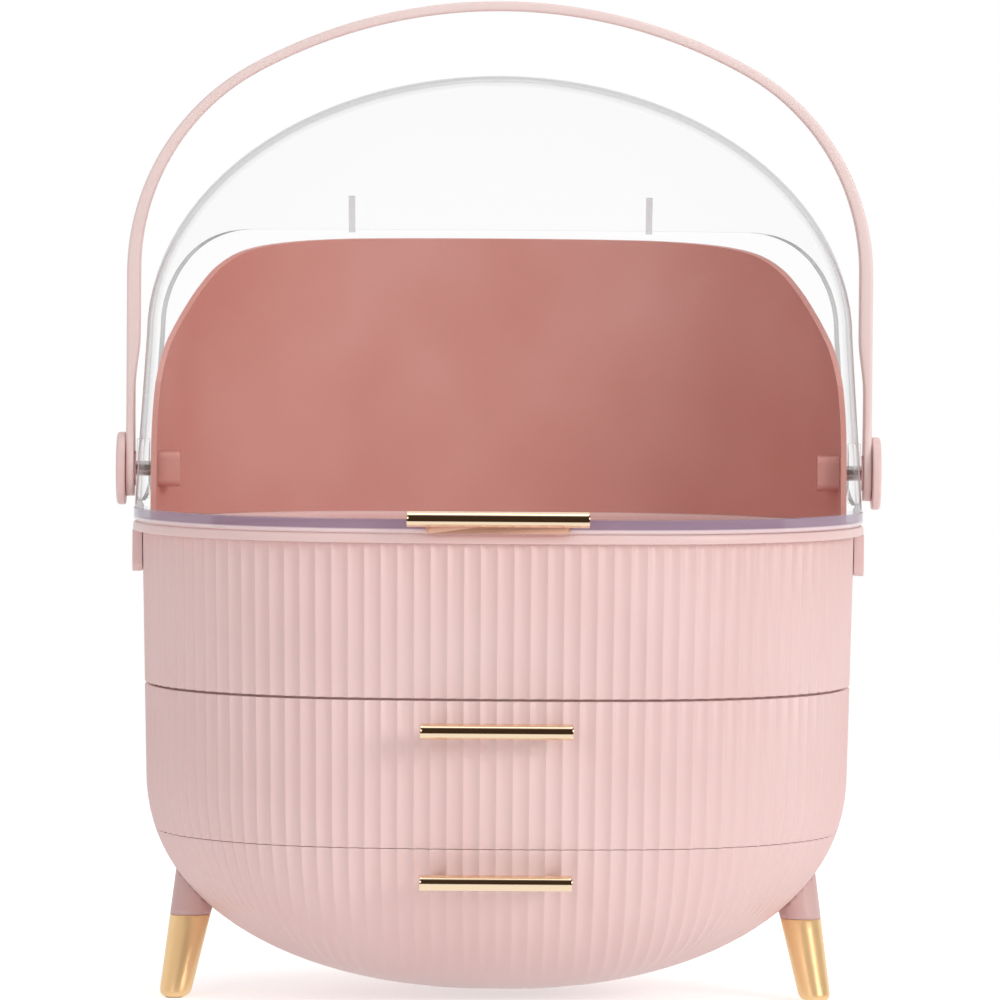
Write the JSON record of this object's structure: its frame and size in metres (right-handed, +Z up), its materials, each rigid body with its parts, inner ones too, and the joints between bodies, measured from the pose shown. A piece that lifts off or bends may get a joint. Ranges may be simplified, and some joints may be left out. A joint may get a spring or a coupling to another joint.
{
  "type": "makeup storage case",
  "caption": "Oval fluted cosmetics case on splayed legs, with curved pull-out drawers, a clear domed lid over a tray and a swinging hoop handle.",
  "frame": {"origin": "centre of the bounding box, on the surface the feet stand on", "axes": "+Z up, -Y towards the drawer pulls, +X to the right seen from the front"},
  "size_m": [0.3044, 0.2169, 0.395],
  "materials": {
    "pink_plastic": "satin moulded plastic",
    "inner_pink_plastic": "satin moulded plastic",
    "clear_plastic": "clear polished plastic",
    "gold_metal": "polished gold plating",
    "screw_steel": "plain steel",
    "foot_rubber": "soft rubber",
    "washer_plastic": "plain plastic"
  },
  "bodies": {
    "case": {"upper_tray": "pink_plastic", "rim_collar": "pink_plastic", "rear_shell": "pink_plastic", "deck_plate": "pink_plastic", "deck_posts": "pink_plastic", "drawer_shelf": "pink_plastic", "upper_runners": "pink_plastic", "lower_runners": "pink_plastic", "upper_stops": "pink_plastic", "lower_stops": "pink_plastic", "back_wall": "pink_plastic", "side_tab_right": "pink_plastic", "side_tab_left": "pink_plastic", "pivot_block_right": "pink_plastic", "pivot_block_left": "pink_plastic", "pivot_pin_right": "screw_steel", "pivot_pin_left": "screw_steel", "knob_right": "pink_plastic", "knob_left": "pink_plastic", "leg_side_right": "pink_plastic", "ferrule_side_right": "gold_metal", "leg_side_left": "pink_plastic", "ferrule_side_left": "gold_metal", "leg_rear_right": "pink_plastic", "ferrule_rear_right": "gold_metal", "leg_rear_left": "pink_plastic", "ferrule_rear_left": "gold_metal", "foot_pads": "foot_rubber"},
    "lid": {"lid_shell": "clear_plastic", "lid_ribs": "clear_plastic", "lid_pull": "gold_metal", "lid_pull_base": "gold_metal"},
    "handle": {"handle_hoop": "pink_plastic", "pivot_washers": "washer_plastic"},
    "drawer_upper": {"upper_drawer_front": "pink_plastic", "upper_drawer_box": "inner_pink_plastic", "upper_drawer_pull": "gold_metal", "upper_pull_screws": "screw_steel"},
    "drawer_lower": {"lower_drawer_front": "pink_plastic", "lower_drawer_box": "inner_pink_plastic", "lower_drawer_pull": "gold_metal", "lower_pull_screws": "screw_steel"}
  },
  "joints": [
    {"name": "lid_hinge", "type": "hinge", "parent": "case", "child": "lid", "pos_m": [0, 0.02048, 0.208], "axis": [-1, 0, 0], "range_deg": [0, 80]},
    {"name": "handle_hinge", "type": "hinge", "parent": "case", "child": "handle", "pos_m": [0, 0.02048, 0.208], "axis": [1, 0, 0], "range_deg": [-90, 90]},
    {"name": "upper_drawer_slide", "type": "slide", "parent": "case", "child": "drawer_upper", "axis": [0, -1, 0], "range_m": [0, 0.06]},
    {"name": "lower_drawer_slide", "type": "slide", "parent": "case", "child": "drawer_lower", "axis": [0, -1, 0], "range_m": [0, 0.06]}
  ]
}
